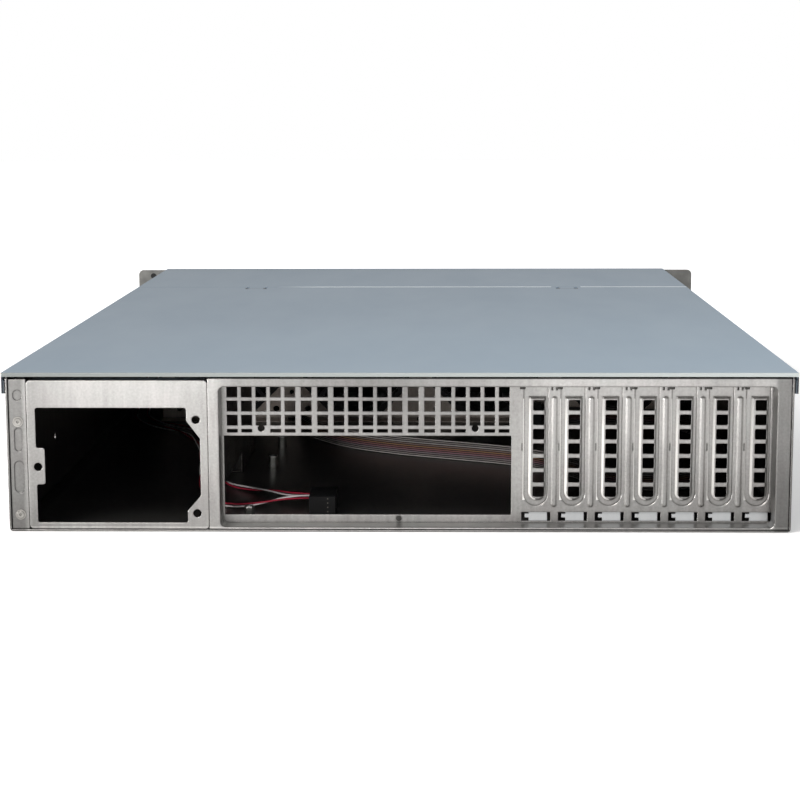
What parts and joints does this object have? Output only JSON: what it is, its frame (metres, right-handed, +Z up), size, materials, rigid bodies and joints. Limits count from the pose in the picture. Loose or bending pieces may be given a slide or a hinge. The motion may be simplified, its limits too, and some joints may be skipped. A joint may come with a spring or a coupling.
{
  "type": "empty rackmount server case",
  "caption": "Sheet steel rack case with a lift-off lid, recessed rear panel with card slots, power supply bay, fan wall and front drive carriers.",
  "frame": {"origin": "middle of the footprint, on the surface the case stands on", "axes": "+Z up, front faces -Y, rear panel at +Y, +X to the right seen from the front"},
  "size_m": [0.4826, 0.653, 0.088],
  "materials": {
    "galvanised_sheet": "zinc coated steel sheet, soft matt sheen",
    "cover_sheet": "zinc coated steel sheet, smooth, cool grey",
    "ear_sheet": "grey paint, matt",
    "front_paint": "black paint, fine texture",
    "bright_fastener": "bright plated",
    "black_plastic": "moulded, satin",
    "carrier_plastic": "moulded, satin",
    "lever_plastic": "moulded, satin",
    "circuit_board": "solder mask, semi gloss",
    "connector_plastic": "moulded",
    "button_plastic": "moulded",
    "ribbon_jacket": "flat ribbon of thin insulated cores",
    "lead_jacket": "thin insulated cores"
  },
  "bodies": {
    "case": {"chassis_tray": "galvanised_sheet", "rear_panel": "galvanised_sheet", "psu_plate": "galvanised_sheet", "corner_post": "galvanised_sheet", "fan_wall": "galvanised_sheet", "psu_divider": "galvanised_sheet", "cage_shell": "galvanised_sheet", "bay_divider_1": "galvanised_sheet", "bay_divider_2": "galvanised_sheet", "bay_divider_3": "galvanised_sheet", "slot_cover_1": "galvanised_sheet", "slot_cover_2": "galvanised_sheet", "slot_cover_3": "galvanised_sheet", "slot_cover_4": "galvanised_sheet", "slot_cover_5": "galvanised_sheet", "slot_cover_6": "galvanised_sheet", "slot_cover_7": "galvanised_sheet", "front_top": "cover_sheet", "rack_ear_left": "ear_sheet", "rack_ear_right": "ear_sheet", "front_panel": "front_paint", "screws": "bright_fastener", "panel_stud": "bright_fastener", "rivets": "bright_fastener", "board_standoffs": "bright_fastener", "fan_housing_1": "black_plastic", "fan_housing_2": "black_plastic", "fan_housing_3": "black_plastic", "fan_housing_4": "black_plastic", "drive_backplane": "circuit_board", "control_board": "circuit_board", "drive_connectors": "connector_plastic", "ribbon_plugs": "connector_plastic", "lead_plug": "connector_plastic", "ribbon_lead": "ribbon_jacket", "power_lead": "lead_jacket", "reset_lead": "lead_jacket"},
    "lid_body": {"lid": "cover_sheet"},
    "fan_rotor_1_body": {"fan_rotor_1": "black_plastic"},
    "fan_rotor_2_body": {"fan_rotor_2": "black_plastic"},
    "fan_rotor_3_body": {"fan_rotor_3": "black_plastic"},
    "fan_rotor_4_body": {"fan_rotor_4": "black_plastic"},
    "drive_carrier_1_body": {"drive_carrier_1": "carrier_plastic"},
    "carrier_lever_1_body": {"carrier_lever_1": "lever_plastic"},
    "drive_carrier_2_body": {"drive_carrier_2": "carrier_plastic"},
    "carrier_lever_2_body": {"carrier_lever_2": "lever_plastic"},
    "drive_carrier_3_body": {"drive_carrier_3": "carrier_plastic"},
    "carrier_lever_3_body": {"carrier_lever_3": "lever_plastic"},
    "drive_carrier_4_body": {"drive_carrier_4": "carrier_plastic"},
    "carrier_lever_4_body": {"carrier_lever_4": "lever_plastic"},
    "drive_carrier_5_body": {"drive_carrier_5": "carrier_plastic"},
    "carrier_lever_5_body": {"carrier_lever_5": "lever_plastic"},
    "drive_carrier_6_body": {"drive_carrier_6": "carrier_plastic"},
    "carrier_lever_6_body": {"carrier_lever_6": "lever_plastic"},
    "drive_carrier_7_body": {"drive_carrier_7": "carrier_plastic"},
    "carrier_lever_7_body": {"carrier_lever_7": "lever_plastic"},
    "drive_carrier_8_body": {"drive_carrier_8": "carrier_plastic"},
    "carrier_lever_8_body": {"carrier_lever_8": "lever_plastic"},
    "power_button_body": {"power_button": "button_plastic"},
    "reset_button_body": {"reset_button": "button_plastic"}
  },
  "joints": [
    {"name": "lid_lift", "type": "slide", "parent": "case", "child": "lid_body", "axis": [0, 0, 1], "range_m": [0, 0.12]},
    {"name": "fan_spin_1", "type": "hinge", "parent": "case", "child": "fan_rotor_1_body", "pos_m": [0.13415, -0.0572, 0.0448], "axis": [0, 1, 0], "continuous": true},
    {"name": "fan_spin_2", "type": "hinge", "parent": "case", "child": "fan_rotor_2_body", "pos_m": [0.03925, -0.0572, 0.0448], "axis": [0, 1, 0], "continuous": true},
    {"name": "fan_spin_3", "type": "hinge", "parent": "case", "child": "fan_rotor_3_body", "pos_m": [-0.05565, -0.0572, 0.0448], "axis": [0, 1, 0], "continuous": true},
    {"name": "fan_spin_4", "type": "hinge", "parent": "case", "child": "fan_rotor_4_body", "pos_m": [-0.15055, -0.0572, 0.0448], "axis": [0, 1, 0], "continuous": true},
    {"name": "carrier_slide_1", "type": "slide", "parent": "case", "child": "drive_carrier_1_body", "axis": [0, -1, 0], "range_m": [0, 0.15]},
    {"name": "lever_hinge_1", "type": "hinge", "parent": "drive_carrier_1_body", "child": "carrier_lever_1_body", "pos_m": [-0.1154, -0.3244, 0.0156], "axis": [0, 0, 1], "range_deg": [0, 75]},
    {"name": "carrier_slide_2", "type": "slide", "parent": "case", "child": "drive_carrier_2_body", "axis": [0, -1, 0], "range_m": [0, 0.15]},
    {"name": "lever_hinge_2", "type": "hinge", "parent": "drive_carrier_2_body", "child": "carrier_lever_2_body", "pos_m": [-0.0094, -0.3244, 0.0156], "axis": [0, 0, 1], "range_deg": [0, 75]},
    {"name": "carrier_slide_3", "type": "slide", "parent": "case", "child": "drive_carrier_3_body", "axis": [0, -1, 0], "range_m": [0, 0.15]},
    {"name": "lever_hinge_3", "type": "hinge", "parent": "drive_carrier_3_body", "child": "carrier_lever_3_body", "pos_m": [0.0966, -0.3244, 0.0156], "axis": [0, 0, 1], "range_deg": [0, 75]},
    {"name": "carrier_slide_4", "type": "slide", "parent": "case", "child": "drive_carrier_4_body", "axis": [0, -1, 0], "range_m": [0, 0.15]},
    {"name": "lever_hinge_4", "type": "hinge", "parent": "drive_carrier_4_body", "child": "carrier_lever_4_body", "pos_m": [0.2026, -0.3244, 0.0156], "axis": [0, 0, 1], "range_deg": [0, 75]},
    {"name": "carrier_slide_5", "type": "slide", "parent": "case", "child": "drive_carrier_5_body", "axis": [0, -1, 0], "range_m": [0, 0.15]},
    {"name": "lever_hinge_5", "type": "hinge", "parent": "drive_carrier_5_body", "child": "carrier_lever_5_body", "pos_m": [-0.1154, -0.3244, 0.0438], "axis": [0, 0, 1], "range_deg": [0, 75]},
    {"name": "carrier_slide_6", "type": "slide", "parent": "case", "child": "drive_carrier_6_body", "axis": [0, -1, 0], "range_m": [0, 0.15]},
    {"name": "lever_hinge_6", "type": "hinge", "parent": "drive_carrier_6_body", "child": "carrier_lever_6_body", "pos_m": [-0.0094, -0.3244, 0.0438], "axis": [0, 0, 1], "range_deg": [0, 75]},
    {"name": "carrier_slide_7", "type": "slide", "parent": "case", "child": "drive_carrier_7_body", "axis": [0, -1, 0], "range_m": [0, 0.15]},
    {"name": "lever_hinge_7", "type": "hinge", "parent": "drive_carrier_7_body", "child": "carrier_lever_7_body", "pos_m": [0.0966, -0.3244, 0.0438], "axis": [0, 0, 1], "range_deg": [0, 75]},
    {"name": "carrier_slide_8", "type": "slide", "parent": "case", "child": "drive_carrier_8_body", "axis": [0, -1, 0], "range_m": [0, 0.15]},
    {"name": "lever_hinge_8", "type": "hinge", "parent": "drive_carrier_8_body", "child": "carrier_lever_8_body", "pos_m": [0.2026, -0.3244, 0.0438], "axis": [0, 0, 1], "range_deg": [0, 75]},
    {"name": "power_button_push", "type": "slide", "parent": "case", "child": "power_button_body", "axis": [0, 1, 0], "range_m": [0, 0.0012], "stiffness_N_per_m": 400, "springref_m": -0.001},
    {"name": "reset_button_push", "type": "slide", "parent": "case", "child": "reset_button_body", "axis": [0, 1, 0], "range_m": [0, 0.0012], "stiffness_N_per_m": 400, "springref_m": -0.001}
  ]
}
